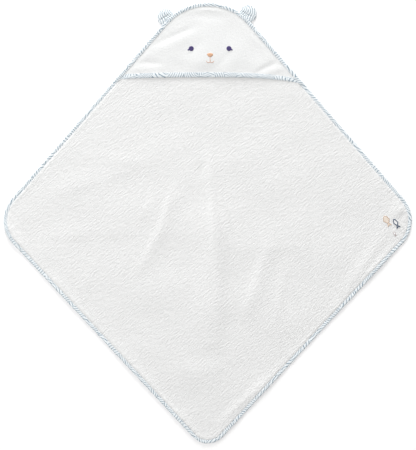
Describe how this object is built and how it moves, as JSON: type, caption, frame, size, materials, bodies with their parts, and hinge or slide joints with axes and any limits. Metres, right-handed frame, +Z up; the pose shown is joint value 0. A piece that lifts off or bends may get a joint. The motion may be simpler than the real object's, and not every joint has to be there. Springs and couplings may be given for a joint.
{
  "type": "hooded baby towel",
  "caption": "Square terry bath towel laid on its corner, with a hood pocket with a stitched animal face and two round ears at the top, bound all round with printed cotton.",
  "frame": {"origin": "centre of the flat towel's bounding box, on the surface that it lies on", "axes": "+Z up, out of the side with the hood; +Y towards the hood; +X towards the towel's right corner as seen from above"},
  "size_m": [1.0118, 1.0924, 0.0136],
  "materials": {
    "terry": "matte",
    "hood_velour": "matte",
    "print_cotton": "matte",
    "white_thread": "matte",
    "indigo_thread": "satin",
    "peach_thread": "satin",
    "sand_thread": "satin",
    "slate_thread": "satin",
    "pale_thread": "satin",
    "ear_wadding": "matte"
  },
  "bodies": {
    "towel": {"terry_middle": "terry", "hood_panel": "hood_velour", "face_backing": "hood_velour", "binding_hood": "print_cotton", "binding_side_left": "print_cotton", "binding_side_right": "print_cotton", "binding_hood_hem": "print_cotton", "stitching_hood": "white_thread", "stitching_side_left": "white_thread", "stitching_side_right": "white_thread", "stitching_hood_hem": "white_thread", "eye_left": "indigo_thread", "eye_right": "indigo_thread", "nose": "peach_thread", "mouth": "peach_thread"},
    "wing_left": {"terry_wing_left": "terry", "binding_wing_left": "print_cotton", "stitching_wing_left": "white_thread"},
    "wing_right": {"terry_wing_right": "terry", "binding_wing_right": "print_cotton", "stitching_wing_right": "white_thread", "fish_large": "sand_thread", "fish_medium": "slate_thread", "fish_small": "pale_thread"},
    "foot": {"terry_foot": "terry", "binding_foot": "print_cotton", "stitching_foot": "white_thread"},
    "ear_left": {"ear_left_front": "print_cotton", "ear_left_back": "print_cotton", "ear_left_filling": "ear_wadding"},
    "ear_right": {"ear_right_front": "print_cotton", "ear_right_back": "print_cotton", "ear_right_filling": "ear_wadding"}
  },
  "joints": [
    {"name": "wing_left_fold", "type": "hinge", "parent": "towel", "child": "wing_left", "pos_m": [-0.26992, 0, 0.0039], "axis": [0, 1, 0], "range_deg": [0, 175]},
    {"name": "wing_right_fold", "type": "hinge", "parent": "towel", "child": "wing_right", "pos_m": [0.26992, 0, 0.0039], "axis": [0, -1, 0], "range_deg": [0, 175]},
    {"name": "foot_fold", "type": "hinge", "parent": "towel", "child": "foot", "pos_m": [0, -0.33026, 0.0039], "axis": [-1, 0, 0], "range_deg": [0, 175]},
    {"name": "ear_left_fold", "type": "hinge", "parent": "towel", "child": "ear_left", "pos_m": [-0.09616, 0.50836, 0.0048], "axis": [0.7314, 0.682, 0], "range_deg": [0, 150]},
    {"name": "ear_right_fold", "type": "hinge", "parent": "towel", "child": "ear_right", "pos_m": [0.09616, 0.50836, 0.0048], "axis": [0.7314, -0.682, 0], "range_deg": [0, 150]}
  ]
}
